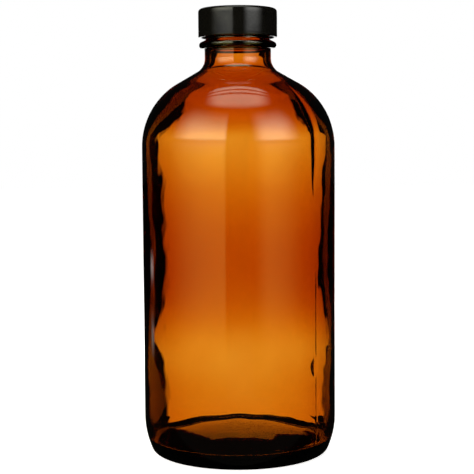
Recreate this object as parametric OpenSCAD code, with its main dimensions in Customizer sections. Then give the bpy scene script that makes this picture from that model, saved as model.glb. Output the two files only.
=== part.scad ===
// Round-shouldered amber glass reagent bottle with a screw cap and a faced foam liner.
// Millimetres, +Z up. The origin is the centre of the ring that the bottle stands on.

/* [Bottle body] */
// Outer diameter of the straight body
body_d = 75; // [66:0.5:95]
// Height of the glass, from the surface it stands on to the lip
bottle_h = 169.8; // [145:0.1:220]
// Wall thickness of the body and the shoulder
wall_t = 2; // [1.2:0.1:3.5]
// Radius of the round shoulder
shoulder_r = 28.5; // [20:0.5:34]
// Angle that the shoulder turns through before it runs straight to the neck
shoulder_angle = 60; // [50:1:68]

/* [Heel and base] */
// Radius of the long upper curve of the heel
heel_upper_r = 31.5; // [22:0.5:40]
// Angle that the upper curve of the heel turns through
heel_upper_angle = 24; // [16:1:30]
// Radius of the tight lower corner of the heel
heel_lower_r = 2.8; // [1.5:0.1:5]
// Width of the flat ring that the bottle stands on
bearing_w = 3; // [1.5:0.5:6]
// Height of the hollow pushed up into the base
punt_h = 3.5; // [1:0.25:6]
// Thickness of the glass at the centre of the base
base_t = 4.6; // [3:0.1:9]
// Angle at which the domed floor falls off at its edge, in degrees
floor_dome_angle = 10; // [4:1:14]
// Radius of the inner corner between floor and wall
floor_corner_r = 6; // [3:0.5:12]

/* [Neck and bead] */
// How far the neck below the bead stands proud of the wall above it
neck_step = 0.35; // [0:0.05:0.5]
// Straight length of the neck between the shoulder's fillet and the bead
neck_h = 3.6; // [1:0.1:10]
// Outer radius of the fillet between shoulder and neck
neck_fillet_r = 5.75; // [3:0.25:9]
// Radius of the fillet between shoulder and bore, inside
bore_fillet_r = 6; // [3:0.25:10]
// How far the bead stands proud of the wall above it
bead_proud = 2.5; // [2.2:0.1:4]
// Radius of the bead's round nose
bead_nose_r = 1.45; // [0.8:0.05:1.6]
// Angle of the bead's upper slope, from the horizontal plane of its underside
bead_slope = 27; // [20:1:50]

/* [Threaded finish] */
// Outer diameter of the glass wall that carries the thread
finish_d = 25; // [23:0.1:32]
// Height of that wall, from the top of the bead's slope to the lip
finish_h = 9.2; // [8.8:0.1:14]
// Diameter of the bore through the neck and the mouth
bore_d = 18.6; // [14:0.1:20]
// Radius on the two edges of the lip
lip_r = 0.9; // [0.3:0.1:1.2]
// Axial distance from one turn of the thread to the next
pitch = 4.2333; // [3.6:0.0001:4.6]
// Height of the glass thread above its wall
thread_depth = 1.2; // [0.8:0.05:1.5]
// Width of the glass thread's crest
glass_crest_w = 0.9; // [0.4:0.05:1.2]
// Turns of thread on the glass
glass_turns = 1.1; // [0.6:0.05:1.2]
// Distance from the lip down to the upper edge of the thread
thread_drop = 1.3; // [1:0.1:2]
// Slope of the thread's flanks from the radial plane, in degrees
flank_angle = 27; // [15:1:32]

/* [Cap] */
// Wall thickness of the cap's skirt
cap_wall_t = 1.25; // [1:0.05:3]
// Thickness of the cap's top panel
cap_top_t = 1.5; // [1:0.1:3]
// Radius of the cap's rounded top edge
cap_edge_r = 1.2; // [0.4:0.1:2]
// Radius of the cap's lower outer edge
cap_rim_r = 0.4; // [0.1:0.05:0.8]
// Clear height between the bead's slope and the cap's rim
cap_rim_gap = 0.8; // [0.4:0.1:2]
// Turns of thread inside the cap
cap_turns = 1; // [0.5:0.05:1.1]
// Width of the cap thread's crest
cap_crest_w = 1; // [0.4:0.05:1.2]
// Plain height of the skirt below the cap's thread
cap_lead_in = 0.5; // [0.3:0.1:1]
// Radial clearance between the glass thread's crest and the cap's bore
crest_clearance = 0.3; // [0.15:0.05:0.6]
// Radial clearance between the cap thread's crest and the glass wall
root_clearance = 0.3; // [0.15:0.05:0.6]
// Axial clearance between the bearing flanks of the two threads
flank_clearance = 0.3; // [0.15:0.05:0.5]

/* [Liner] */
// Thickness of the foam backing
backing_t = 0.85; // [0.5:0.05:2]
// Thickness of the smooth facing that seals on the lip
facing_t = 0.25; // [0.1:0.05:0.5]
// Radial clearance between the liner and the cap's bore
liner_clearance = 0.5; // [0.2:0.05:0.9]

/* [Hidden] */
$fn = 96;

body_r = body_d / 2;
inner_r = body_r - wall_t;
bore_r = bore_d / 2;
finish_r = finish_d / 2;
neck_r = finish_r + neck_step;

// Heel: a long arc tangent to the body runs into a tight arc tangent to the base
heel_span = heel_upper_r - heel_lower_r;
heel_top_z = heel_lower_r + heel_span * sin(heel_upper_angle);
heel_corner_x = body_r - heel_upper_r + heel_span * cos(heel_upper_angle);

// Punt: a shallow dome that springs from the inner edge of the bearing ring
punt_edge_r = heel_corner_x - bearing_w;
punt_dome_r = (punt_edge_r * punt_edge_r + punt_h * punt_h) / (2 * punt_h);

// Floor: a dome over the punt that runs smoothly into the inner corner
floor_z = punt_h + base_t;
floor_edge_r = inner_r - floor_corner_r * (1 + sin(floor_dome_angle));
floor_dome_r = floor_edge_r / sin(floor_dome_angle);
floor_edge_z = floor_z - floor_dome_r * (1 - cos(floor_dome_angle));
floor_corner_z = floor_edge_z + floor_corner_r * cos(floor_dome_angle);

// Heights from the lip down to where the straight body ends
lip_z = bottle_h;
slope_top_z = lip_z - finish_h;
bead_x = finish_r + bead_proud - bead_nose_r;
slope_drop = (bead_x + bead_nose_r * sin(bead_slope) - finish_r) * tan(bead_slope);
bead_z = slope_top_z - slope_drop - bead_nose_r * cos(bead_slope);
neck_fillet_z = bead_z - bead_nose_r - neck_h;

// Height and width that a straight shoulder line takes between its round and its fillet
function shoulder_run(outer_r, round_r, throat_r, fillet_r) =
    let (round_end = outer_r - round_r * (1 - cos(shoulder_angle)))
    let (fillet_end = throat_r + fillet_r * (1 - cos(shoulder_angle)))
    (round_end - fillet_end) / tan(shoulder_angle);
function shoulder_height(outer_r, round_r, throat_r, fillet_r) =
    (round_r + fillet_r) * sin(shoulder_angle) + shoulder_run(outer_r, round_r, throat_r, fillet_r);
shoulder_z = neck_fillet_z - shoulder_height(body_r, shoulder_r, neck_r, neck_fillet_r);
inner_shoulder_r = shoulder_r - wall_t;
bore_fillet_z = shoulder_z + shoulder_height(inner_r, inner_shoulder_r, bore_r, bore_fillet_r);

// Liner and cap stack up from the lip
liner_t = facing_t + backing_t;
cap_ceiling_z = lip_z + liner_t;
cap_top_z = cap_ceiling_z + cap_top_t;
cap_rim_z = slope_top_z + cap_rim_gap;
glass_crest_r = finish_r + thread_depth;
cap_bore_r = glass_crest_r + crest_clearance;
cap_r = cap_bore_r + cap_wall_t;
cap_crest_r = finish_r + root_clearance;
liner_r = cap_bore_r - liner_clearance;

// Thread: each ridge is buried a little in its wall, and fades into it at both ends
thread_bury = cap_wall_t / 3;
thread_fade = thread_bury / 4;
thread_runout = 0.12;
steps_per_turn = 48;
flank = tan(flank_angle);
glass_root_w = glass_crest_w + 2 * thread_depth * flank;
glass_thread_z = lip_z - thread_drop - glass_root_w / 2 - glass_turns * pitch;
cap_root_w = cap_crest_w + 2 * (cap_bore_r - cap_crest_r) * flank;
cap_thread_z = cap_rim_z + cap_lead_in + cap_root_w / 2;
// The cap's ridge follows the glass one at this distance below it
glass_w_at_cap_crest = glass_crest_w + 2 * (glass_crest_r - cap_crest_r) * flank;
ridge_offset = (glass_w_at_cap_crest + cap_crest_w) / 2 + flank_clearance;
cap_thread_angle = 360 * (cap_thread_z + ridge_offset - glass_thread_z) / pitch;

// Points along an arc in the half plane of radius and height
function arc(centre_r, centre_z, radius, from, to, steps) =
    [for (i = [0:steps]) let (a = from + (to - from) * i / steps)
        [centre_r + radius * cos(a), centre_z + radius * sin(a)]];

// Half outline of the glass outside, from the top of the punt up to the lip
function outside() = concat(
    arc(0, punt_h - punt_dome_r, punt_dome_r, 90, acos(punt_edge_r / punt_dome_r), 8),
    arc(heel_corner_x, heel_lower_r, heel_lower_r, -90, -heel_upper_angle, 6),
    arc(body_r - heel_upper_r, heel_top_z, heel_upper_r, -heel_upper_angle, 0, 8),
    arc(body_r - shoulder_r, shoulder_z, shoulder_r, 0, shoulder_angle, 16),
    arc(neck_r + neck_fillet_r, neck_fillet_z, neck_fillet_r, 180 + shoulder_angle, 180, 8),
    [[neck_r, bead_z - bead_nose_r]],
    arc(bead_x, bead_z, bead_nose_r, -90, 90 - bead_slope, 10),
    [[finish_r, slope_top_z]],
    arc(finish_r - lip_r, lip_z - lip_r, lip_r, 0, 90, 4));

// Half outline of the glass inside, from the lip down to the floor
function inside() = concat(
    arc(bore_r + lip_r, lip_z - lip_r, lip_r, 90, 180, 4),
    arc(bore_r + bore_fillet_r, bore_fillet_z, bore_fillet_r, 180, 180 + shoulder_angle, 8),
    arc(body_r - shoulder_r, shoulder_z, inner_shoulder_r, shoulder_angle, 0, 16),
    arc(inner_r - floor_corner_r, floor_corner_z, floor_corner_r, 0, -90 - floor_dome_angle, 8),
    arc(0, floor_z - floor_dome_r, floor_dome_r, 90 - floor_dome_angle, 90, 6));

// Half outline of the cap, from the inner edge of its rim round to its ceiling
function cap_outline() = concat(
    [[cap_bore_r, cap_rim_z]],
    arc(cap_r - cap_rim_r, cap_rim_z + cap_rim_r, cap_rim_r, -90, 0, 4),
    arc(cap_r - cap_edge_r, cap_top_z - cap_edge_r, cap_edge_r, 0, 90, 6),
    [[0, cap_top_z], [0, cap_ceiling_z], [cap_bore_r, cap_ceiling_z]]);

// Right-hand helical ridge on a round wall, outside it or inside it by where its crest lies
module thread_ridge(wall_r, crest_r, crest_w, start_z, start_angle, turns) {
    side = sign(crest_r - wall_r);
    root_r = wall_r - side * thread_bury;
    faded_r = wall_r - side * thread_fade;
    steps = ceil(turns * steps_per_turn);
    points = [for (i = [0:steps])
        let (turn = turns * i / steps)
        let (a = start_angle + 360 * turn)
        let (rise = min(1, min(turn, turns - turn) / thread_runout))
        let (top_r = faded_r + (crest_r - faded_r) * rise)
        let (top_w = side * crest_w / 2)
        let (root_w = top_w + (top_r - root_r) * flank)
        for (p = [[root_r, -root_w], [top_r, -top_w], [top_r, top_w], [root_r, root_w]])
            [p[0] * cos(a), p[0] * sin(a), start_z + pitch * turn + p[1]]];
    sides = [for (i = [0:steps - 1], k = [0:3])
        let (low = 4 * i + k)
        let (high = 4 * i + (k + 1) % 4)
        each [[low, high, high + 4], [low, high + 4, low + 4]]];
    last = [for (k = [0:3]) 4 * steps + k];
    polyhedron(points, concat([[3, 2, 1, 0]], sides, [last]));
}

// One piece of blown glass: base, body, shoulder, neck, bead and threaded finish
module bottle() {
    color([0.48, 0.21, 0.03]) {
        rotate_extrude() polygon(concat(outside(), inside()));
        thread_ridge(finish_r, glass_crest_r, glass_crest_w, glass_thread_z, 0, glass_turns);
    }
}

// Thin smooth disc that seals on the lip
module liner_facing() {
    color([0.93, 0.93, 0.91]) translate([0, 0, lip_z]) cylinder(h = facing_t, r = liner_r);
}

// Springy foam disc between the facing and the cap's ceiling
module liner_backing() {
    color([0.86, 0.86, 0.83]) translate([0, 0, lip_z + facing_t]) cylinder(h = backing_t, r = liner_r);
}

// Moulded screw cap with a smooth skirt and an internal thread
module cap() {
    color([0.06, 0.06, 0.06]) {
        rotate_extrude() polygon(cap_outline());
        thread_ridge(cap_bore_r, cap_crest_r, cap_crest_w, cap_thread_z, cap_thread_angle, cap_turns);
    }
}

bottle();
liner_facing();
liner_backing();
cap();
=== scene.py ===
import math

import bpy
import bmesh
from mathutils import Euler, Matrix, Vector


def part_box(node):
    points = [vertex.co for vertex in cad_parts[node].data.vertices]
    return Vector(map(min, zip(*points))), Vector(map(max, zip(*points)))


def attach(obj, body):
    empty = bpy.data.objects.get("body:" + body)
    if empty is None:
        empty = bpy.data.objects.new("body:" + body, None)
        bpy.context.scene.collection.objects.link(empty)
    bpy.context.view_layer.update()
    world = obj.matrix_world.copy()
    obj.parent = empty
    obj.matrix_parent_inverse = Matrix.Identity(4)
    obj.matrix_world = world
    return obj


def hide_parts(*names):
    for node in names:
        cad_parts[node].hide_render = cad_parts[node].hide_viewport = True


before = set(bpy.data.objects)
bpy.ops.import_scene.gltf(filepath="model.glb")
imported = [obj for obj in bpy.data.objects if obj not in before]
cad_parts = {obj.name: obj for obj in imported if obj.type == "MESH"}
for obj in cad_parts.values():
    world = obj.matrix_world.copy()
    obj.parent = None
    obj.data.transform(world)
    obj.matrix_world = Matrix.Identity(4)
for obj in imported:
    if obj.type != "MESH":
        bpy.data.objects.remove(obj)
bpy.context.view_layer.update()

# Glass bottle
# One piece of amber soda-lime glass, blown in a two-part mould: its outside copies the mould, with a fine
# seam on each side, and its inside is free, so the wall swells and thins. The cap screws on to its thread.
MM = 0.001
bottle_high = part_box("bottle")[1]
BODY_R = bottle_high.x
LIP_Z = bottle_high.z
PUNT_H = 3.5 * MM
BEARING_W = 3.0 * MM
HEEL_LOWER_R = 2.8 * MM
HEEL_UPPER_R = 31.5 * MM
HEEL_UPPER_ANGLE = 24
SHOULDER_R = 28.5 * MM
SHOULDER_ANGLE = 60
NECK_R = 12.85 * MM
NECK_H = 3.6 * MM
NECK_FILLET_R = 5.75 * MM
BEAD_R = 15.0 * MM
BEAD_NOSE_R = 1.45 * MM
BEAD_SLOPE = 27
BEAD_FILLET_R = 0.4 * MM
FINISH_R = 12.5 * MM
FINISH_H = 9.2 * MM
FINISH_FOOT_H = 0.1 * MM
LIP_R = 0.9 * MM


def arc(centre_r, centre_z, radius, start, end, steps, **marks):
    """Outline points along an arc, given in degrees. Marks say what the lathe does to them."""
    angles = [math.radians(start + (end - start) * i / steps) for i in range(steps + 1)]
    return [
        {"r": centre_r + radius * math.cos(a), "z": centre_z + radius * math.sin(a), **marks}
        for a in angles
    ]


def straight(r0, z0, r1, z1, steps, **marks):
    """Outline points between two ends, without the ends."""
    shares = [i / steps for i in range(1, steps)]
    return [{"r": r0 + (r1 - r0) * s, "z": z0 + (z1 - z0) * s, **marks} for s in shares]


# Outside, from the middle of the hollow base up to the lip
heel_sine = math.sin(math.radians(HEEL_UPPER_ANGLE))
heel_cosine = math.cos(math.radians(HEEL_UPPER_ANGLE))
HEEL_TOP_Z = HEEL_LOWER_R + (HEEL_UPPER_R - HEEL_LOWER_R) * heel_sine
HEEL_CORNER_R = BODY_R - HEEL_UPPER_R + (HEEL_UPPER_R - HEEL_LOWER_R) * heel_cosine
PUNT_EDGE_R = HEEL_CORNER_R - BEARING_W
PUNT_DOME_R = (PUNT_EDGE_R ** 2 + PUNT_H ** 2) / (2 * PUNT_H)
punt_edge_angle = math.degrees(math.acos(PUNT_EDGE_R / PUNT_DOME_R))
slope = math.radians(BEAD_SLOPE)
SLOPE_TOP_Z = LIP_Z - FINISH_H
FINISH_FOOT_Z = SLOPE_TOP_Z + FINISH_FOOT_H
BEAD_X = BEAD_R - BEAD_NOSE_R
slope_drop = (BEAD_X + BEAD_NOSE_R * math.sin(slope) - FINISH_R) * math.tan(slope)
BEAD_Z = SLOPE_TOP_Z - slope_drop - BEAD_NOSE_R * math.cos(slope)
BEAD_FOOT_Z = BEAD_Z - BEAD_NOSE_R
NECK_FILLET_Z = BEAD_FOOT_Z - NECK_H
shoulder = math.radians(SHOULDER_ANGLE)
round_end_r = BODY_R - SHOULDER_R * (1 - math.cos(shoulder))
fillet_end_r = NECK_R + NECK_FILLET_R * (1 - math.cos(shoulder))
shoulder_run = (round_end_r - fillet_end_r) / math.tan(shoulder)
SHOULDER_Z = NECK_FILLET_Z - (SHOULDER_R + NECK_FILLET_R) * math.sin(shoulder) - shoulder_run
round_end_z = SHOULDER_Z + SHOULDER_R * math.sin(shoulder)
fillet_end_z = round_end_z + shoulder_run
outside = (
    arc(0.0, PUNT_H - PUNT_DOME_R, PUNT_DOME_R, 90, punt_edge_angle, steps=16)
    + straight(PUNT_EDGE_R, 0.0, HEEL_CORNER_R, 0.0, steps=8, knurl=1.0)
    + arc(HEEL_CORNER_R, HEEL_LOWER_R, HEEL_LOWER_R, -90, -HEEL_UPPER_ANGLE, steps=12, seam=1.0)[:-1]
    + arc(BODY_R - HEEL_UPPER_R, HEEL_TOP_Z, HEEL_UPPER_R, -HEEL_UPPER_ANGLE, 0, steps=18, seam=1.0)
    + straight(BODY_R, HEEL_TOP_Z, BODY_R, SHOULDER_Z, steps=30, seam=1.0)
    + arc(BODY_R - SHOULDER_R, SHOULDER_Z, SHOULDER_R, 0, SHOULDER_ANGLE, steps=36, seam=1.0)
    + straight(round_end_r, round_end_z, fillet_end_r, fillet_end_z, steps=5, seam=1.0)
    + arc(NECK_R + NECK_FILLET_R, NECK_FILLET_Z, NECK_FILLET_R, 180 + SHOULDER_ANGLE, 180, steps=16, seam=1.0)
    + arc(NECK_R + BEAD_FILLET_R, BEAD_FOOT_Z - BEAD_FILLET_R, BEAD_FILLET_R, 180, 90, steps=4)
    + arc(BEAD_X, BEAD_Z, BEAD_NOSE_R, -90, 90 - BEAD_SLOPE, steps=20)
    + arc(FINISH_R + BEAD_FILLET_R, FINISH_FOOT_Z, BEAD_FILLET_R, 270 - BEAD_SLOPE, 180, steps=4)
    + straight(FINISH_R, FINISH_FOOT_Z, FINISH_R, LIP_Z - LIP_R, steps=44, thread=1.0)
    + arc(FINISH_R - LIP_R, LIP_Z - LIP_R, LIP_R, 0, 90, steps=8)
)

# Thickness of the free wall. A span is the height where a change starts and the height where it is full.
WALL_THIN = 1.45 * MM
WALL_SWELL = 1.35 * MM
SWELL_Z = 71.0 * MM
SWELL_BELOW = 34.0 * MM
SWELL_ABOVE = 60.0 * MM
SHOULDER_SWELL = 1.35 * MM
SHOULDER_SWELL_SPAN = (SHOULDER_Z + 3 * MM, SHOULDER_Z + 20 * MM)
HEEL_SWELL = 1.1 * MM
HEEL_FULL_Z = 5 * MM
HEEL_SWELL_SPAN = (14 * MM, HEEL_FULL_Z)
LOW_SWELL = 0.42 * MM
LOW_SWELL_SPAN = (42 * MM, 16 * MM)
NECK_THINNER = 0.95 * MM
NECK_THINNER_SPAN = (143 * MM, 155 * MM)


def ease(value, start, end):
    """0 before start and 1 after end, with a smooth change between. Start may be above end."""
    share = min(1.0, max(0.0, (value - start) / (end - start)))
    return share * share * (3 - 2 * share)


def wall_at(z):
    """Thickness of the blown wall: it swells at the heel, mid height and shoulder, and thins to the neck."""
    reach = SWELL_ABOVE if z > SWELL_Z else SWELL_BELOW
    share = min(1.0, abs(z - SWELL_Z) / reach)
    swell = WALL_SWELL * math.cos(share * math.pi / 2) ** 2
    shoulder_swell = SHOULDER_SWELL * ease(z, *SHOULDER_SWELL_SPAN)
    heel_swell = HEEL_SWELL * ease(z, *HEEL_SWELL_SPAN) + LOW_SWELL * ease(z, *LOW_SWELL_SPAN)
    return WALL_THIN + swell + shoulder_swell + heel_swell - NECK_THINNER * ease(z, *NECK_THINNER_SPAN)


def behind_arc(centre_r, centre_z, radius, start, end, steps, facing, **marks):
    """Inner points behind an arc of the outside. Facing is 1 where the arc bulges outwards, or else -1."""
    points = []
    for step in range(steps + 1):
        angle = math.radians(start + (end - start) * step / steps)
        reach = radius - facing * wall_at(centre_z + radius * math.sin(angle))
        points.append({
            "r": centre_r + reach * math.cos(angle), "z": centre_z + reach * math.sin(angle), **marks})
    return points


# Inside, from the lip down to the middle of the floor
BORE_R = 9.3 * MM
THROAT_RISE = 1.0 * MM
THROAT_TOP_Z = BEAD_Z + THROAT_RISE
THROAT_STEPS = 12
THROAT_FLARE = (0.0, 0.5)
NECK_WAVE = 0.3
WALL_ROWS = 60
LEAN_TOP_Z = 40 * MM
FLOOR_Z = 8.7 * MM
FLOOR_CORNER_R = 2.6 * MM
FLOOR_CORNER_WAVE = 0.5
FLOOR_DOME_ANGLE = 15
FLOOR_LEAN = 1.0
floor_dome = math.radians(FLOOR_DOME_ANGLE)
low_wall_r = BODY_R - wall_at(HEEL_FULL_Z)
floor_edge_r = low_wall_r - FLOOR_CORNER_R * (1 + math.sin(floor_dome))
FLOOR_DOME_R = floor_edge_r / math.sin(floor_dome)
floor_edge_drop = FLOOR_DOME_R * (1 - math.cos(floor_dome))
floor_corner_z = FLOOR_Z - floor_edge_drop + FLOOR_CORNER_R * math.cos(floor_dome)
inner_neck = behind_arc(
    NECK_R + NECK_FILLET_R, NECK_FILLET_Z, NECK_FILLET_R, 180, 180 + SHOULDER_ANGLE,
    steps=16, facing=-1, wave=NECK_WAVE)
inner_shoulder = behind_arc(
    BODY_R - SHOULDER_R, SHOULDER_Z, SHOULDER_R, SHOULDER_ANGLE, 0,
    steps=36, facing=1, wave=1.0)
inner_wall = []
for step in range(1, WALL_ROWS):
    z = SHOULDER_Z + (floor_corner_z - SHOULDER_Z) * step / WALL_ROWS
    lean = ease(z, LEAN_TOP_Z, floor_corner_z)
    inner_wall.append({"r": BODY_R - wall_at(z), "z": z, "wave": 1.0, "lean": lean})
throat_r = inner_neck[0]["r"]
throat = []
for step in range(1, THROAT_STEPS):
    share = step / THROAT_STEPS
    throat.append({
        "r": BORE_R + (throat_r - BORE_R) * ease(share, *THROAT_FLARE),
        "z": THROAT_TOP_Z + (NECK_FILLET_Z - THROAT_TOP_Z) * share})
floor_corner = arc(
    low_wall_r - FLOOR_CORNER_R, floor_corner_z, FLOOR_CORNER_R, 0, -90 - FLOOR_DOME_ANGLE,
    steps=18, wave=FLOOR_CORNER_WAVE, lean=1.0)
dome = arc(0.0, FLOOR_Z - FLOOR_DOME_R, FLOOR_DOME_R, 90 - FLOOR_DOME_ANGLE, 90, steps=14)[1:]
for point in dome:
    point["lean"] = (point["r"] / floor_edge_r) ** 2
inside = (
    arc(BORE_R + LIP_R, LIP_Z - LIP_R, LIP_R, 90, 180, steps=8)
    + straight(BORE_R, LIP_Z - LIP_R, BORE_R, THROAT_TOP_Z, steps=8)
    + throat
    + inner_neck
    + inner_shoulder
    + inner_wall
    + floor_corner
    + dome
)

# The mould seams are faint above the lower body
SEAM_AZIMUTH = 50
SEAM_FAINT = 0.15
SEAM_SPAN = (72 * MM, 62 * MM)
for point in outside:
    if "seam" in point:
        point["seam"] = SEAM_FAINT + (1 - SEAM_FAINT) * ease(point["z"], *SEAM_SPAN)

# Inside, behind one seam, a long fold runs down from the shoulder, and a small knot sits low in the wall
FOLD_SIZE = 8.0
FOLD_FOOT = (98 * MM, 118 * MM)
FOLD_HEAD = (142 * MM, 132 * MM)
KNOT_SIZE = 7.0
KNOT_Z = 36.6 * MM
KNOT_REACH = 2.2 * MM
for point in inner_shoulder + inner_wall:
    fold = ease(point["z"], *FOLD_FOOT) * ease(point["z"], *FOLD_HEAD)
    knot = math.exp(-((point["z"] - KNOT_Z) / KNOT_REACH) ** 2)
    point["seam"] = -FOLD_SIZE * fold - KNOT_SIZE * knot

# Both ends of the outline lie on the axis, so that the base closes
for end in (outside[0], inside[-1]):
    end["r"] = 0.0


def linear(hex_colour):
    """Linear red, green, blue and alpha of an sRGB hex colour."""
    parts = [int(hex_colour[i:i + 2], 16) / 255 for i in (1, 3, 5)]
    curve = [c / 12.92 if c <= 0.04045 else ((c + 0.055) / 1.055) ** 2.4 for c in parts]
    return (*curve, 1.0)


def add(tree, kind, inputs=None, **settings):
    """Add a node with its settings, and set or link its inputs. A node as an input links its first output."""
    node = tree.nodes.new(kind)
    for name, value in settings.items():
        setattr(node, name, value)
    for key, value in (inputs or {}).items():
        if isinstance(value, bpy.types.Node):
            value = value.outputs[0]
        if isinstance(value, bpy.types.NodeSocket):
            tree.links.new(value, node.inputs[key])
        else:
            node.inputs[key].default_value = value
    return node


def new_material(name):
    """An empty material, its node tree and its output node."""
    material = bpy.data.materials.new(name)
    material.use_nodes = True
    material.node_tree.nodes.clear()
    output = material.node_tree.nodes.new("ShaderNodeOutputMaterial")
    return material, material.node_tree, output


# Amber soda-lime glass: clear and fire-polished, and coloured all through, so thin walls glow orange and the
# thick base and the edges, where light runs far in the glass, go nearly black.
CLEAR = "#ffffff"
GLOSS_TINT = "#ffffe7"
AMBER_THROUGH = "#f1d200"
AMBER_DENSITY = 1600.0
glass, nodes, output = new_material("amber_soda_lime_glass")
skin = add(nodes, "ShaderNodeBsdfPrincipled", {
    "Base Color": linear(CLEAR), "Roughness": 0.0, "IOR": 1.52, "Transmission Weight": 1.0,
    "Specular Tint": linear(GLOSS_TINT)})
colour = add(nodes, "ShaderNodeVolumeAbsorption", {"Color": linear(AMBER_THROUGH), "Density": AMBER_DENSITY})
nodes.links.new(skin.outputs[0], output.inputs["Surface"])
nodes.links.new(colour.outputs[0], output.inputs["Volume"])

# What an outline point can be marked for, and the sizes that the lathe takes
MARKS = ("thread", "wave", "seam", "knurl", "lean")
TURNED_INPUTS = {
    "Points": "NodeSocketInt",
    "Segments": "NodeSocketInt",
    "Seam angle": "NodeSocketFloat",
    "Seam crowding": "NodeSocketFloat",
    "Seam height": "NodeSocketFloat",
    "Seam width": "NodeSocketFloat",
    "Far seam share": "NodeSocketFloat",
    "Fold wander": "NodeSocketFloat",
    "Wave height": "NodeSocketFloat",
    "Wave size": "NodeSocketFloat",
    "Thread pitch": "NodeSocketFloat",
    "Thread start": "NodeSocketFloat",
    "Thread angle": "NodeSocketFloat",
    "Thread turns": "NodeSocketFloat",
    "Thread fade": "NodeSocketFloat",
    "Thread depth": "NodeSocketFloat",
    "Crest half width": "NodeSocketFloat",
    "Flank": "NodeSocketFloat",
    "Knurl count": "NodeSocketFloat",
    "Knurl depth": "NodeSocketFloat",
    "Lean": "NodeSocketFloat",
    "Material": "NodeSocketMaterial",
}


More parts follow.
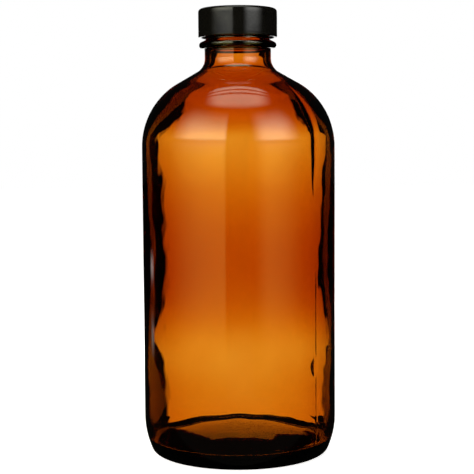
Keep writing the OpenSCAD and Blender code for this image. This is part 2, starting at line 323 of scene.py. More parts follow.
def turned_wall():
    """Node tree that turns an outline about the Z axis, and shapes it where it is marked."""
    tree = bpy.data.node_groups.new("turned_wall", "GeometryNodeTree")
    tree.is_modifier = True
    tree.interface.new_socket("Outline", in_out="INPUT", socket_type="NodeSocketGeometry")
    for name, kind in TURNED_INPUTS.items():
        tree.interface.new_socket(name, in_out="INPUT", socket_type=kind)
    tree.interface.new_socket("Wall", in_out="OUTPUT", socket_type="NodeSocketGeometry")
    given = tree.nodes.new("NodeGroupInput").outputs
    result = tree.nodes.new("NodeGroupOutput")
    math_node = "ShaderNodeMath"

    # A grid with one column of outline points for each angle, and one more to close the round
    columns = add(tree, math_node, {0: given["Segments"], 1: 1.0}, operation="ADD")
    grid = add(tree, "GeometryNodeMeshGrid", {"Vertices X": columns, "Vertices Y": given["Points"]})
    index = add(tree, "GeometryNodeInputIndex")
    row = add(tree, math_node, {0: index, 1: given["Points"]}, operation="MODULO")
    share = add(tree, math_node, {0: index, 1: given["Points"]}, operation="DIVIDE")
    column = add(tree, math_node, {0: share}, operation="FLOOR")
    even_turn = add(tree, math_node, {0: column, 1: given["Segments"]}, operation="DIVIDE")
    even_angle = add(tree, math_node, {0: even_turn, 1: math.tau}, operation="MULTIPLY")

    # Angles crowd together at the two seams, so that the seams can be fine
    from_seam = add(tree, math_node, {0: even_angle, 1: given["Seam angle"]}, operation="SUBTRACT")
    twice = add(tree, math_node, {0: from_seam, 1: 2.0}, operation="MULTIPLY")
    swing = add(tree, math_node, {0: twice}, operation="SINE")
    half_crowd = add(tree, math_node, {0: given["Seam crowding"], 1: -0.5}, operation="MULTIPLY")
    angle = add(tree, math_node, {0: swing, 1: half_crowd, 2: even_angle}, operation="MULTIPLY_ADD")

    # Radius, height and marks of the outline point in this row
    place = add(tree, "GeometryNodeInputPosition")
    point = add(
        tree, "GeometryNodeSampleIndex", {"Geometry": given["Outline"], "Value": place, "Index": row},
        data_type="FLOAT_VECTOR", domain="POINT")
    parts = add(tree, "ShaderNodeSeparateXYZ", {0: point})
    radius = parts.outputs["X"]
    height = parts.outputs["Z"]
    mark = {}
    for name in MARKS:
        attribute = add(tree, "GeometryNodeInputNamedAttribute", {"Name": name}, data_type="FLOAT")
        mark[name] = add(
            tree, "GeometryNodeSampleIndex", {"Geometry": given["Outline"], "Value": attribute, "Index": row},
            data_type="FLOAT", domain="POINT")

    # Thread: the height above the wall is a trapezoid round a helix, faded out at both ends
    climb = add(tree, math_node, {0: height, 1: given["Thread start"]}, operation="SUBTRACT")
    climb_turns = add(tree, math_node, {0: climb, 1: given["Thread pitch"]}, operation="DIVIDE")
    from_start = add(tree, math_node, {0: angle, 1: given["Thread angle"]}, operation="SUBTRACT")
    turns_round = add(tree, math_node, {0: from_start, 1: math.tau}, operation="DIVIDE")
    first_turn = add(tree, math_node, {0: turns_round}, operation="FRACT")
    ridges = []
    for lap in (0.0, 1.0):
        along = add(tree, math_node, {0: first_turn, 1: lap}, operation="ADD")
        to_end = add(tree, math_node, {0: given["Thread turns"], 1: along}, operation="SUBTRACT")
        nearest_end = add(tree, math_node, {0: along, 1: to_end}, operation="MINIMUM")
        fade = add(
            tree, math_node, {0: nearest_end, 1: given["Thread fade"]}, operation="DIVIDE", use_clamp=True)
        off_turns = add(tree, math_node, {0: climb_turns, 1: along}, operation="SUBTRACT")
        off = add(tree, math_node, {0: off_turns, 1: given["Thread pitch"]}, operation="MULTIPLY")
        off_size = add(tree, math_node, {0: off}, operation="ABSOLUTE")
        past_crest = add(tree, math_node, {0: off_size, 1: given["Crest half width"]}, operation="SUBTRACT")
        fall = add(tree, math_node, {0: past_crest, 1: given["Flank"]}, operation="DIVIDE")
        rise = add(tree, math_node, {0: given["Thread depth"], 1: fall}, operation="SUBTRACT")
        capped = add(tree, math_node, {0: rise, 1: given["Thread depth"]}, operation="MINIMUM")
        floored = add(tree, math_node, {0: capped, 1: 0.0}, operation="MAXIMUM")
        ridges.append(add(tree, math_node, {0: floored, 1: fade}, operation="MULTIPLY"))
    ridge = add(tree, math_node, {0: ridges[0], 1: ridges[1]}, operation="MAXIMUM")
    threaded = add(tree, math_node, {0: ridge, 1: mark["thread"], 2: radius}, operation="MULTIPLY_ADD")

    # Soft noise, over the wall as it was before any push
    cosine = add(tree, math_node, {0: angle}, operation="COSINE")
    sine = add(tree, math_node, {0: angle}, operation="SINE")
    smooth_x = add(tree, math_node, {0: radius, 1: cosine}, operation="MULTIPLY")
    smooth_y = add(tree, math_node, {0: radius, 1: sine}, operation="MULTIPLY")
    smooth_place = add(tree, "ShaderNodeCombineXYZ", {"X": smooth_x, "Y": smooth_y, "Z": height})
    wave_scale = add(tree, math_node, {0: 1.0, 1: given["Wave size"]}, operation="DIVIDE")
    noise = add(
        tree, "ShaderNodeTexNoise",
        {"Vector": smooth_place, "Scale": wave_scale, "Detail": 3.0, "Roughness": 0.5})
    centred = add(tree, math_node, {0: noise, 1: -0.5}, operation="ADD")

    # Seams: a straight rounded ridge at the seam's angle, and a lower one opposite it. A negative mark makes
    # a fold instead, at the seam's angle only, which goes inwards and wanders. A higher ridge is wider too.
    off_seam = add(tree, math_node, {0: angle, 1: given["Seam angle"]}, operation="SUBTRACT")
    seam_sine = add(tree, math_node, {0: off_seam}, operation="SINE")
    straight_side = add(tree, math_node, {0: seam_sine, 1: radius}, operation="MULTIPLY")
    fold = add(tree, math_node, {0: mark["seam"], 1: 0.0}, operation="MINIMUM")
    wander = add(tree, math_node, {0: fold, 1: given["Fold wander"]}, operation="MULTIPLY")
    seam_side = add(tree, math_node, {0: centred, 1: wander, 2: straight_side}, operation="MULTIPLY_ADD")
    seam_size = add(tree, math_node, {0: mark["seam"]}, operation="ABSOLUTE")
    seam_spread = add(tree, math_node, {0: seam_size, 1: 0.5, 2: 0.5}, operation="MULTIPLY_ADD")
    seam_half = add(tree, math_node, {0: seam_spread, 1: given["Seam width"]}, operation="MULTIPLY")
    seam_ratio = add(tree, math_node, {0: seam_side, 1: seam_half}, operation="DIVIDE")
    seam_square = add(tree, math_node, {0: seam_ratio, 1: seam_ratio}, operation="MULTIPLY")
    seam_power = add(tree, math_node, {0: seam_square, 1: -1.0}, operation="MULTIPLY")
    seam_bell = add(tree, math_node, {0: seam_power}, operation="EXPONENT")
    seam_rise = add(tree, math_node, {0: seam_bell, 1: given["Seam height"]}, operation="MULTIPLY")
    seam_facing = add(tree, math_node, {0: off_seam}, operation="COSINE")
    half_gap = add(tree, math_node, {0: given["Far seam share"], 1: -0.5, 2: 0.5}, operation="MULTIPLY_ADD")
    mean_share = add(tree, math_node, {0: given["Far seam share"], 1: 0.5, 2: 0.5}, operation="MULTIPLY_ADD")
    seam_share = add(tree, math_node, {0: seam_facing, 1: half_gap, 2: mean_share}, operation="MULTIPLY_ADD")
    seam_sign = add(tree, math_node, {0: mark["seam"]}, operation="SIGN")
    fold_share = add(tree, math_node, {0: seam_facing, 1: 0.0}, operation="MAXIMUM")
    fold_or_seam = add(tree, math_node, {0: fold_share, 1: seam_sign}, operation="MAXIMUM")
    seam_weight = add(tree, math_node, {0: seam_share, 1: fold_or_seam}, operation="MULTIPLY")
    seam_uneven = add(tree, math_node, {0: seam_rise, 1: seam_weight}, operation="MULTIPLY")
    seamed = add(tree, math_node, {0: seam_uneven, 1: mark["seam"], 2: threaded}, operation="MULTIPLY_ADD")

    # Waves: the noise pushes the free inner wall in and out
    wave = add(tree, math_node, {0: centred, 1: given["Wave height"]}, operation="MULTIPLY")
    waved = add(tree, math_node, {0: wave, 1: mark["wave"], 2: seamed}, operation="MULTIPLY_ADD")

    # Knurls: short radial grooves cut up into the ring that the piece stands on
    knurl_turn = add(tree, math_node, {0: even_angle, 1: given["Knurl count"]}, operation="MULTIPLY")
    knurl_swing = add(tree, math_node, {0: knurl_turn}, operation="COSINE")
    knurl_open = add(tree, math_node, {0: knurl_swing, 1: -0.5, 2: 0.5}, operation="MULTIPLY_ADD")
    knurl_rise = add(tree, math_node, {0: knurl_open, 1: given["Knurl depth"]}, operation="MULTIPLY")
    knurled = add(tree, math_node, {0: knurl_rise, 1: mark["knurl"], 2: height}, operation="MULTIPLY_ADD")

    # Lean: a free floor settles out of level
    tilted = add(tree, math_node, {0: smooth_y, 1: given["Lean"]}, operation="MULTIPLY")
    leaning = add(tree, math_node, {0: tilted, 1: mark["lean"], 2: knurled}, operation="MULTIPLY_ADD")

    final_x = add(tree, math_node, {0: waved, 1: cosine}, operation="MULTIPLY")
    final_y = add(tree, math_node, {0: waved, 1: sine}, operation="MULTIPLY")
    final_place = add(tree, "ShaderNodeCombineXYZ", {"X": final_x, "Y": final_y, "Z": leaning})
    turned = add(tree, "GeometryNodeSetPosition", {"Geometry": grid.outputs["Mesh"], "Position": final_place})
    merged = add(tree, "GeometryNodeMergeByDistance", {"Geometry": turned, "Distance": 1e-6})
    smooth = add(tree, "GeometryNodeSetShadeSmooth", {"Geometry": merged})
    real = add(tree, "GeometryNodeRealizeInstances", {"Geometry": smooth})
    dressed = add(tree, "GeometryNodeSetMaterial", {"Geometry": real, "Material": given["Material"]})
    tree.links.new(dressed.outputs[0], result.inputs["Wall"])
    return tree


TURNED_WALL = turned_wall()

# Sizes that the lathe divides by, for a piece that doesn't use them
UNUSED_SIZES = {"Seam width": MM, "Wave size": MM, "Thread pitch": MM, "Thread fade": 1.0, "Flank": 1.0}


def turn(name, outline, material, segments, **sizes):
    """A plain mesh piece turned from an outline. Sizes are the tree's inputs, with _ for a space."""
    mesh = bpy.data.meshes.new(name)
    places = [(p["r"], 0.0, p["z"]) for p in outline]
    mesh.from_pydata(places, [(i, i + 1) for i in range(len(places) - 1)], [])
    for mark in MARKS:
        values = mesh.attributes.new(mark, "FLOAT", "POINT")
        values.data.foreach_set("value", [float(p.get(mark, 0.0)) for p in outline])
    piece = bpy.data.objects.new(name, mesh)
    bpy.context.scene.collection.objects.link(piece)
    lathe = piece.modifiers.new("turned_wall", "NODES")
    lathe.node_group = TURNED_WALL
    given = {"Points": len(places), "Segments": segments, "Material": material, **UNUSED_SIZES}
    for key, value in sizes.items():
        given[key.replace("_", " ")] = value
    for socket in TURNED_WALL.interface.items_tree:
        if socket.item_type == "SOCKET" and socket.in_out == "INPUT" and socket.name in given:
            lathe[socket.identifier] = given[socket.name]
    bpy.context.view_layer.update()
    evaluated = piece.evaluated_get(bpy.context.evaluated_depsgraph_get())
    piece.data = bpy.data.meshes.new_from_object(evaluated)
    piece.data.name = name
    piece.modifiers.clear()
    shape = bmesh.new()
    shape.from_mesh(piece.data)
    if shape.calc_volume(signed=True) < 0:
        bmesh.ops.reverse_faces(shape, faces=shape.faces)
    shape.to_mesh(piece.data)
    shape.free()
    return piece


# The thread climbs a little more than one turn, from the right-hand side to just under the lip
THREAD_PITCH = 4.2333 * MM
THREAD_DEPTH = 1.2 * MM
THREAD_FLANK_ANGLE = 27
THREAD_FLANK = math.tan(math.radians(THREAD_FLANK_ANGLE))
THREAD_FADE = 0.12
GLASS_CREST_W = 0.9 * MM
GLASS_TURNS = 1.1
THREAD_DROP = 1.3 * MM
glass_root_w = GLASS_CREST_W + 2 * THREAD_DEPTH * THREAD_FLANK
GLASS_THREAD_Z = LIP_Z - THREAD_DROP - glass_root_w / 2 - GLASS_TURNS * THREAD_PITCH
bottle = turn(
    "amber_bottle", outside + inside, glass, segments=216,
    Seam_angle=math.radians(SEAM_AZIMUTH - 90), Seam_crowding=0.7, Seam_height=0.06 * MM,
    Seam_width=0.35 * MM, Far_seam_share=0.3,
    Fold_wander=0.8 * MM, Wave_height=0.5 * MM, Wave_size=22 * MM,
    Thread_pitch=THREAD_PITCH, Thread_start=GLASS_THREAD_Z, Thread_turns=GLASS_TURNS, Thread_fade=THREAD_FADE,
    Thread_depth=THREAD_DEPTH, Crest_half_width=GLASS_CREST_W / 2, Flank=THREAD_FLANK,
    Knurl_count=72.0, Knurl_depth=0.25 * MM, Lean=-math.tan(math.radians(FLOOR_LEAN)))
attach(bottle, "bottle")
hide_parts("bottle")

# Liner facing
# The thin smooth disc of white fluoropolymer film that meets the lip. It is laminated to the foam behind it.
facing_low, facing_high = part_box("liner_facing")
FACING_EDGE_R = 0.1 * MM
FILM_CLOUD_W = 3.3333 * MM


def disc(low, high, edge):
    """Outline of a disc between two box corners, with a rounded edge."""
    rim = high.x - edge
    return (
        [{"r": 0.0, "z": low.z}]
        + straight(0.0, low.z, rim, low.z, steps=6)
        + arc(rim, low.z + edge, edge, -90, 0, steps=4)
        + arc(rim, high.z - edge, edge, 0, 90, steps=4)
        + straight(rim, high.z, 0.0, high.z, steps=6)
        + [{"r": 0.0, "z": high.z}]
    )


# Fluoropolymer film: white, waxy and slightly cloudy.
film, nodes, output = new_material("white_fluoropolymer")
spots = add(nodes, "ShaderNodeTexCoord")
cloud = add(nodes, "ShaderNodeTexNoise", {
    "Vector": spots.outputs["Object"], "Scale": 1 / FILM_CLOUD_W, "Detail": 3.0})
tones = add(nodes, "ShaderNodeMix", {
    "Factor": cloud, "A": linear("#e4e3de"), "B": linear("#f2f1ee")}, data_type="RGBA")
wax = add(nodes, "ShaderNodeBsdfPrincipled", {
    "Base Color": tones.outputs["Result"], "Roughness": 0.38, "IOR": 1.35})
nodes.links.new(wax.outputs[0], output.inputs["Surface"])
facing = turn("liner_facing_film", disc(facing_low, facing_high, FACING_EDGE_R), film, segments=128)
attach(facing, "liner")
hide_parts("liner_facing")

# Liner backing
# The springy disc of closed-cell polyethylene foam, cut from sheet, that presses the facing on to the lip. It
# sits loose in the top of the cap.
backing_low, backing_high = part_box("liner_backing")
BACKING_EDGE_R = 0.15 * MM
FOAM_CELL_W = 0.3125 * MM
FOAM_PIT_H = 0.1 * MM

# Polyethylene foam: dull off-white, with fine cells that show as small pits.
foam, nodes, output = new_material("white_polyethylene_foam")
spots = add(nodes, "ShaderNodeTexCoord")
cells = add(nodes, "ShaderNodeTexVoronoi", {"Vector": spots.outputs["Object"], "Scale": 1 / FOAM_CELL_W})
pits = add(nodes, "ShaderNodeBump", {"Strength": 0.6, "Distance": FOAM_PIT_H, "Height": cells})
tones = add(nodes, "ShaderNodeMix", {
    "Factor": cells, "A": linear("#c9c6bc"), "B": linear("#e6e4dc")}, data_type="RGBA")
sponge = add(nodes, "ShaderNodeBsdfPrincipled", {
    "Base Color": tones.outputs["Result"], "Roughness": 0.9, "IOR": 1.45, "Normal": pits})
nodes.links.new(sponge.outputs[0], output.inputs["Surface"])
backing = turn("liner_backing_foam", disc(backing_low, backing_high, BACKING_EDGE_R), foam, segments=128)
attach(backing, "liner")
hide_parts("liner_backing")

# Cap
# A smooth screw cap, moulded in black phenolic resin, with a rounded top edge and a thread of one turn
# inside. It screws on to the neck and presses the liner on to the lip.
cap_low, cap_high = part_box("cap")
CAP_R = cap_high.x
CAP_RIM_Z = cap_low.z
CAP_TOP_Z = cap_high.z
CAP_EDGE_R = 1.2 * MM
CAP_RIM_R = 0.4 * MM
CAP_BORE_R = 14.0 * MM
CAP_TOP_T = 1.5 * MM
CAP_CREST_W = 1.0 * MM
CAP_TURNS = 1.0
CAP_LEAD_IN = 0.5 * MM
CREST_GAP = 0.3 * MM
FLANK_GAP = 0.3 * MM
CAP_CEILING_Z = CAP_TOP_Z - CAP_TOP_T
cap_outline = (
    [{"r": 0.0, "z": CAP_TOP_Z}]
    + straight(0.0, CAP_TOP_Z, CAP_R - CAP_EDGE_R, CAP_TOP_Z, steps=8)
    + arc(CAP_R - CAP_EDGE_R, CAP_TOP_Z - CAP_EDGE_R, CAP_EDGE_R, 90, 0, steps=14)
    + straight(CAP_R, CAP_TOP_Z - CAP_EDGE_R, CAP_R, CAP_RIM_Z + CAP_RIM_R, steps=8)
    + arc(CAP_R - CAP_RIM_R, CAP_RIM_Z + CAP_RIM_R, CAP_RIM_R, 0, -90, steps=6)
    + arc(CAP_BORE_R + CAP_RIM_R, CAP_RIM_Z + CAP_RIM_R, CAP_RIM_R, -90, -180, steps=6)
    + straight(
        CAP_BORE_R, CAP_RIM_Z + CAP_RIM_R, CAP_BORE_R, CAP_CEILING_Z - CAP_RIM_R, steps=50, thread=-1.0)
    + arc(CAP_BORE_R - CAP_RIM_R, CAP_CEILING_Z - CAP_RIM_R, CAP_RIM_R, 0, 90, steps=6)
    + straight(CAP_BORE_R - CAP_RIM_R, CAP_CEILING_Z, 0.0, CAP_CEILING_Z, steps=8)
    + [{"r": 0.0, "z": CAP_CEILING_Z}]
)

# The cap's thread is turned so that it lies under the glass thread, with a gap between their flanks
cap_root_w = CAP_CREST_W + 2 * THREAD_DEPTH * THREAD_FLANK
CAP_THREAD_Z = CAP_RIM_Z + CAP_LEAD_IN + cap_root_w / 2
crest_gap_w = GLASS_CREST_W + 2 * (THREAD_DEPTH - CREST_GAP) * THREAD_FLANK
ridge_offset = (crest_gap_w + CAP_CREST_W) / 2 + FLANK_GAP
CAP_THREAD_ANGLE = math.tau * (CAP_THREAD_Z + ridge_offset - GLASS_THREAD_Z) / THREAD_PITCH

# Phenolic resin: deep black and glossy from the mould, with a faint orange-peel ripple and softer worn
# patches.
WORN_PATCH_W = 4.5455 * MM
PEEL_W = 1.1111 * MM
PEEL_H = 0.02 * MM
phenolic, nodes, output = new_material("black_phenolic_resin")
spots = add(nodes, "ShaderNodeTexCoord")
wear = add(nodes, "ShaderNodeTexNoise", {
    "Vector": spots.outputs["Object"], "Scale": 1 / WORN_PATCH_W, "Detail": 4.0})
dull = add(nodes, "ShaderNodeMapRange", {
    "Value": wear, "From Min": 0.35, "From Max": 0.75, "To Min": 0.07, "To Max": 0.2})
peel = add(nodes, "ShaderNodeTexNoise", {
    "Vector": spots.outputs["Object"], "Scale": 1 / PEEL_W, "Detail": 1.0})
ripple = add(nodes, "ShaderNodeBump", {"Strength": 0.25, "Distance": PEEL_H, "Height": peel})
resin = add(nodes, "ShaderNodeBsdfPrincipled", {
    "Base Color": linear("#0f0e0d"), "Roughness": dull, "IOR": 1.42, "Normal": ripple})
nodes.links.new(resin.outputs[0], output.inputs["Surface"])
cap = turn(
    "phenolic_cap", cap_outline, phenolic, segments=192,
    Thread_pitch=THREAD_PITCH, Thread_start=CAP_THREAD_Z, Thread_angle=CAP_THREAD_ANGLE,
    Thread_turns=CAP_TURNS, Thread_fade=THREAD_FADE,
    Thread_depth=THREAD_DEPTH, Crest_half_width=CAP_CREST_W / 2, Flank=THREAD_FLANK)
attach(cap, "cap")
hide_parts("cap")

# Camera
# At the photograph's eye point: level with the upper body, looking a little down.
IMAGE_SIDE = 474
FOCAL_PX = 1217.3
SHIFT_PX = -2.0
EYE = Vector((0.0, -475.7 * MM, 120.0 * MM))
PITCH = 4.319
ROLL = -0.371
lens = bpy.data.cameras.new("camera")
lens.sensor_width = 36.0
lens.lens = FOCAL_PX / IMAGE_SIDE * lens.sensor_width
lens.shift_x = SHIFT_PX / IMAGE_SIDE
lens.clip_start = 0.01
lens.clip_end = 50.0
camera = bpy.data.objects.new("camera", lens)
bpy.context.scene.collection.objects.link(camera)
look_down = Euler((math.radians(90 - PITCH), 0.0, 0.0)).to_matrix()
camera.location = EYE
camera.rotation_euler = (look_down @ Matrix.Rotation(math.radians(ROLL), 3, "Z")).to_euler()
bpy.context.scene.camera = camera
bpy.context.scene.view_settings.view_transform = "Standard"

# Studio
# A narrow white sweep behind the bottle with the dark room at both sides of it, which draws the glass's edges
# black, and soft boxes in front and above. The set goes round with the camera, as on a turntable.
WHITE = "#ffffff"
ROOM_LEVEL = 0.006
world = bpy.data.worlds.new("studio")
bpy.context.scene.world = world
world.use_nodes = True
nodes = world.node_tree
nodes.nodes.clear()
path = add(nodes, "ShaderNodeLightPath")
white = add(nodes, "ShaderNodeBackground", {"Color": linear(WHITE), "Strength": 1.0})
room = add(nodes, "ShaderNodeBackground", {"Color": linear(WHITE), "Strength": ROOM_LEVEL})
seen = add(nodes, "ShaderNodeMixShader", {0: path.outputs["Is Camera Ray"], 1: room, 2: white})
sky = nodes.nodes.new("ShaderNodeOutputWorld")
nodes.links.new(seen.outputs[0], sky.inputs["Surface"])

# White card: as bright as the level that is painted on it.
light_card, nodes, output = new_material("light_card")
level = add(nodes, "ShaderNodeAttribute", attribute_name="glow")
glow = add(nodes, "ShaderNodeEmission", {"Color": level.outputs["Color"]})
nodes.links.new(glow.outputs[0], output.inputs["Surface"])

# Cloth of the soft boxes: dark to light that has met many surfaces, which would only speckle the thick base.
MOST_SURFACES = 5
box_cloth, nodes, output = new_material("box_cloth")
path = add(nodes, "ShaderNodeLightPath")
few = add(
    nodes, "ShaderNodeMath", {0: path.outputs["Ray Depth"], 1: MOST_SURFACES + 0.5}, operation="LESS_THAN")
level = add(nodes, "ShaderNodeAttribute", attribute_name="glow")
glow = add(nodes, "ShaderNodeEmission", {"Color": level.outputs["Color"], "Strength": few})
nodes.links.new(glow.outputs[0], output.inputs["Surface"])


def card(name, place, light, columns, rows, material=light_card):
    """A sheet with light that varies over it, placed for the first view. It goes round with the camera."""
    shares = [(i / columns, j / rows) for j in range(rows + 1) for i in range(columns + 1)]
    corners = [j * (columns + 1) + i for j in range(rows) for i in range(columns)]
    mesh = bpy.data.meshes.new(name)
    mesh.from_pydata(
        [place(u, v) for u, v in shares], [],
        [(a, a + 1, a + columns + 2, a + columns + 1) for a in corners])
    levels = mesh.attributes.new("glow", "FLOAT_COLOR", "POINT")
    for spot, (u, v) in zip(levels.data, shares):
        spot.color = (*light(u, v), 1.0)
    mesh.materials.append(material)
    sheet = bpy.data.objects.new(name, mesh)
    bpy.context.scene.collection.objects.link(sheet)
    follow = sheet.constraints.new("LOCKED_TRACK")
    follow.target = camera
    follow.track_axis = "TRACK_NEGATIVE_Y"
    follow.lock_axis = "LOCK_Z"
    sheet.visible_camera = False
    sheet.visible_shadow = False


# Sweep: each side has its own shape, as the dark edges of the glass ask. It bends up at a share of its rows.
SWEEP_FRONT = 53 * MM
SWEEP_BACK = 450 * MM
SWEEP_LOW_Z = 0.6 * MM
SWEEP_RISE = 260 * MM
SWEEP_BEND = 0.4
SWEEP_LEVEL = 1.56
SWEEP_SOFT_EDGE = 0.04
LEFT_HALF_W = 31.5 * MM
LEFT_SPREAD = 0.125
LEFT_FLARE = 17 * MM
LEFT_FLARE_DEPTHS = (250 * MM, 400 * MM)
LEFT_TAPER = 0.35
LEFT_TAPER_RISE = (0.5, 1.0)
RIGHT_HALF_W = 36 * MM
RIGHT_SPREAD = 0.178
RIGHT_FLARE = 30 * MM
RIGHT_FLARE_DEPTHS = (300 * MM, 450 * MM)
RIGHT_NOTCH = 12 * MM
RIGHT_NOTCH_FOOT = (0.15, 0.3)
RIGHT_NOTCH_HEAD = (0.45, 0.35)
RIGHT_TAPER = 0.45
RIGHT_TAPER_RISE = (0.61, 0.73)


def sweep_place(u, v):
    """The sweep widens from behind the bottle, along the floor, and then rises."""
    depth = SWEEP_FRONT + (SWEEP_BACK - SWEEP_FRONT) * min(1.0, v / SWEEP_BEND)
    rise = max(0.0, (v - SWEEP_BEND) / (1 - SWEEP_BEND))
    left = LEFT_HALF_W + LEFT_SPREAD * depth + LEFT_FLARE * ease(depth, *LEFT_FLARE_DEPTHS)
    left *= 1 - LEFT_TAPER * ease(rise, *LEFT_TAPER_RISE)
    right = RIGHT_HALF_W + RIGHT_SPREAD * depth + RIGHT_FLARE * ease(depth, *RIGHT_FLARE_DEPTHS)
    right -= RIGHT_NOTCH * ease(rise, *RIGHT_NOTCH_FOOT) * ease(rise, *RIGHT_NOTCH_HEAD)
    right *= 1 - RIGHT_TAPER * ease(rise, *RIGHT_TAPER_RISE)
    return (left + right) * u - left, depth, SWEEP_LOW_Z + SWEEP_RISE * rise


def sweep_light(u, v):
    """Even and white, with soft sides."""
    return [SWEEP_LEVEL * ease(u, 0.0, SWEEP_SOFT_EDGE) * ease(u, 1.0, 1 - SWEEP_SOFT_EDGE)] * 3


card("sweep", sweep_place, sweep_light, columns=50, rows=20)

# Soft boxes: heights and azimuths are in degrees, from the aim on the bottle's axis.
BOX_AIM_Z = 120 * MM
BOX_TOP = 55
BOX_BEND = 0.4
BOX_REACH = 300 * MM
BOX_STEP = 900 * MM
BOX_STEP_HEIGHTS = (2, 10)
BOX_FOOT_REACH = 160 * MM
BOX_FOOT_Z = 2 * MM
BOX_FOOT_FADE = (0.0, 0.15)
GOLD = "#fff17c"
GOLD_LEVEL = 1.0
GOLD_FOOT = (-9, -1)
GOLD_HEAD = (6, 0)
GOLD_TO_WHITE = (-3, 4)
LOW_OUTER_FADE = (1.0, 0.3)
LOW_HEAD = (36, 16)
UPPER_OUTER_FADE = (1.0, 0.55)
UPPER_INNER_SHARE = 0.82
UPPER_INNER_RISE = (0.1, 0.45)
UPPER_FOOT_H = 4
UPPER_HEAD = (BOX_TOP, 25)


def box_height(v):
    """Height of a row of a soft box above the aim, in degrees. Rows below the aim count down from 0."""
    return (v - BOX_BEND) / (1 - BOX_BEND) * BOX_TOP


def box_place(side, near, far):
    """Placer for a soft box that bends round the bottle between two azimuths, and narrows in to the floor."""
    def place(u, v):
        azimuth = math.radians(near + (far - near) * u)
        height = math.radians(box_height(v))
        reach = BOX_REACH + BOX_STEP * ease(box_height(v), *BOX_STEP_HEIGHTS)
        if v < BOX_BEND:
            away = BOX_FOOT_REACH + (BOX_REACH - BOX_FOOT_REACH) * v / BOX_BEND
            z = BOX_FOOT_Z + (BOX_AIM_Z - BOX_FOOT_Z) * v / BOX_BEND
        else:
            away = reach * math.cos(height)
            z = BOX_AIM_Z + reach * math.sin(height)
        return side * away * math.sin(azimuth), -away * math.cos(azimuth), z
    return place


def box_light(low_level, upper_level, upper_start, inner_edge, upper_tone):
    """Light of a soft box: white, with gold foil below, and a bright upper part."""
    def light(u, v):
        height = box_height(v)
        inner = ease(u, 0.0, inner_edge)
        side = inner * ease(u, *LOW_OUTER_FADE)
        low = low_level * side * ease(height, *LOW_HEAD) * ease(v, *BOX_FOOT_FADE)
        white = ease(height, *GOLD_TO_WHITE)
        band = GOLD_LEVEL * side * ease(height, *GOLD_FOOT) * ease(height, *GOLD_HEAD)
        inner_share = UPPER_INNER_SHARE + (1 - UPPER_INNER_SHARE) * ease(u, *UPPER_INNER_RISE)
        spread = inner * inner_share * ease(u, *UPPER_OUTER_FADE)
        foot = ease(height, upper_start, upper_start + UPPER_FOOT_H)
        upper = upper_level * spread * foot * ease(height, *UPPER_HEAD)
        return [
            low * (white + gold * (1 - white)) + band * gold + upper * tone
            for gold, tone in zip(linear(GOLD)[:3], linear(upper_tone))]
    return light


left_light = box_light(low_level=1.05, upper_level=3.8, upper_start=8, inner_edge=0.04, upper_tone="#ffffe1")
right_light = box_light(low_level=0.9, upper_level=3.9, upper_start=7, inner_edge=0.3, upper_tone="#fffff9")
card("left_box", box_place(-1, near=13, far=88), left_light, columns=25, rows=80, material=box_cloth)
card("right_box", box_place(1, near=14, far=80), right_light, columns=25, rows=80, material=box_cloth)

# Front card: lies on the floor, from the bottle towards the viewer
FRONT_HALF_W = 100 * MM
FRONT_NEAR = -400 * MM
FRONT_FAR = -36 * MM
FRONT_Z = 0.6 * MM
FRONT_LEVEL = 0.03
FRONT_SIDE_FADE = (1.0, 0.6)


def front_place(u, v):
    """A flat card on the floor."""
    return FRONT_HALF_W * (2 * u - 1), FRONT_NEAR + (FRONT_FAR - FRONT_NEAR) * v, FRONT_Z


def front_light(u, v):
    """Dim, with soft sides."""
    return [FRONT_LEVEL * ease(abs(2 * u - 1), *FRONT_SIDE_FADE)] * 3


card("front_card", front_place, front_light, columns=12, rows=12)

# Rim strip: each patch has a level, a place up the strip and a reach
RIM_AZIMUTH = 117
RIM_HALF_ANGLE = 5
RIM_REACH = 200 * MM
RIM_LOW_Z = 8 * MM
RIM_H = 58 * MM
RIM_PATCHES = ((1.3, 0.83, 0.1), (0.6, 0.2, 0.14))


def rim_place(u, v):
    """A thin strip of light at the left, a little behind the bottle."""
    azimuth = math.radians(RIM_AZIMUTH + RIM_HALF_ANGLE * (2 * u - 1))
    return -RIM_REACH * math.sin(azimuth), -RIM_REACH * math.cos(azimuth), RIM_LOW_Z + RIM_H * v


def rim_light(u, v):
    """Two soft patches, one above the other."""
    patches = sum(level * math.exp(-((v - place) / reach) ** 2) for level, place, reach in RIM_PATCHES)
    return [patches * math.sin(math.pi * u)] * 3


card("rim_strip", rim_place, rim_light, columns=10, rows=24)

# Top box: hangs over the set. Louvres are given by their place from its front to its back.
TOP_Z = 720 * MM
TOP_BACK = 160 * MM
TOP_BACK_BOW = 70 * MM
TOP_DEPTH = 580 * MM
TOP_FRONT_BOW = 220 * MM
TOP_FRONT_HALF_W = 400 * MM
TOP_BACK_HALF_W = 250 * MM
TOP_LEVEL = 3.2
TOP_TONE = "#fcfff1"
TOP_SIDE_FADE = (1.0, 0.5)
TOP_FRONT_FADE = (0.0, 0.3)
TOP_BACK_FADE = (0.98, 0.86)
LOUVRES = (0.651, 0.793)
LOUVRE_REACH = 0.034


def top_place(u, v):
    """A box over the set, wider and bowed at its front."""
    across = 2 * u - 1
    half_w = TOP_FRONT_HALF_W + (TOP_BACK_HALF_W - TOP_FRONT_HALF_W) * v
    back = TOP_BACK - TOP_BACK_BOW * v * across ** 2
    depth = TOP_DEPTH - TOP_FRONT_BOW * across ** 2
    return across * half_w, back - depth * (1 - v), TOP_Z


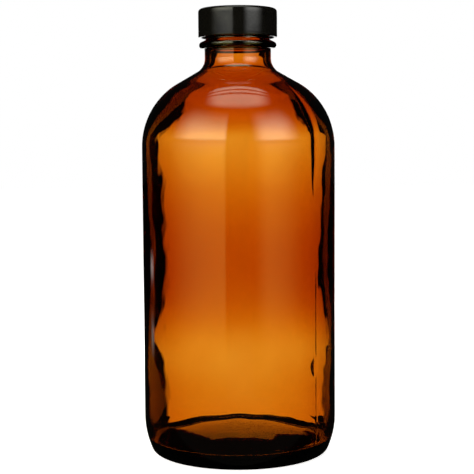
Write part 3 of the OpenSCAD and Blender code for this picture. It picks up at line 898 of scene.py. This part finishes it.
def top_light(u, v):
    """Soft at its sides, with thin dark louvres across its back half."""
    ends = ease(v, *TOP_FRONT_FADE) * ease(v, *TOP_BACK_FADE)
    level = TOP_LEVEL * ends * ease(abs(2 * u - 1), *TOP_SIDE_FADE)
    louvre = max(math.exp(-((v - place) / LOUVRE_REACH) ** 2) for place in LOUVRES)
    return [level * (1 - louvre) * tone for tone in linear(TOP_TONE)[:3]]


card("top_box", top_place, top_light, columns=24, rows=100, material=box_cloth)

# White paper, as the floor: it glows white to the camera, with a painted shadow that dims it a little close
# to the bottle, and it is dark to the glass, as painted shade that keeps the thick base near black.
PAPER_REACH = 3.0
PAPER_Z = -0.2 * MM
PAPER_NEAR = 50 * MM
PAPER_FAR = 400 * MM
PAPER_PAINTED_SHADOW_LEVEL = 0.88
paper, nodes, output = new_material("white_paper")
path = add(nodes, "ShaderNodeLightPath")
spots = add(nodes, "ShaderNodeTexCoord")
away = add(nodes, "ShaderNodeVectorMath", {0: spots.outputs["Object"]}, operation="LENGTH")
# Painted shadow: the camera's glow is lower near the bottle and full far from it
painted_shadow_glow = add(nodes, "ShaderNodeMapRange", {
    "Value": away.outputs["Value"], "From Min": PAPER_NEAR, "From Max": PAPER_FAR,
    "To Min": PAPER_PAINTED_SHADOW_LEVEL, "To Max": 1.0}, interpolation_type="SMOOTHSTEP")
share = add(nodes, "ShaderNodeMath", {0: path.outputs["Is Camera Ray"], 1: painted_shadow_glow}, operation="MULTIPLY")
# Painted shade: the paper is near black to all but camera rays, so the glass shows its base dark
tone = add(nodes, "ShaderNodeMix", {
    "Factor": path.outputs["Is Camera Ray"], "A": linear("#181818"), "B": linear("#eeeeee")},
    data_type="RGBA")
matt = add(nodes, "ShaderNodeBsdfDiffuse", {"Color": tone.outputs["Result"]})
glow = add(nodes, "ShaderNodeEmission", {"Color": linear(WHITE), "Strength": share})
both = add(nodes, "ShaderNodeAddShader", {0: matt, 1: glow})
nodes.links.new(both.outputs[0], output.inputs["Surface"])
corners = [(-1, -1), (1, -1), (1, 1), (-1, 1)]
floor_mesh = bpy.data.meshes.new("floor")
floor_mesh.from_pydata([(x * PAPER_REACH, y * PAPER_REACH, 0.0) for x, y in corners], [], [(0, 1, 2, 3)])
floor_mesh.materials.append(paper)
floor = bpy.data.objects.new("floor", floor_mesh)
bpy.context.scene.collection.objects.link(floor)
floor.location.z = PAPER_Z
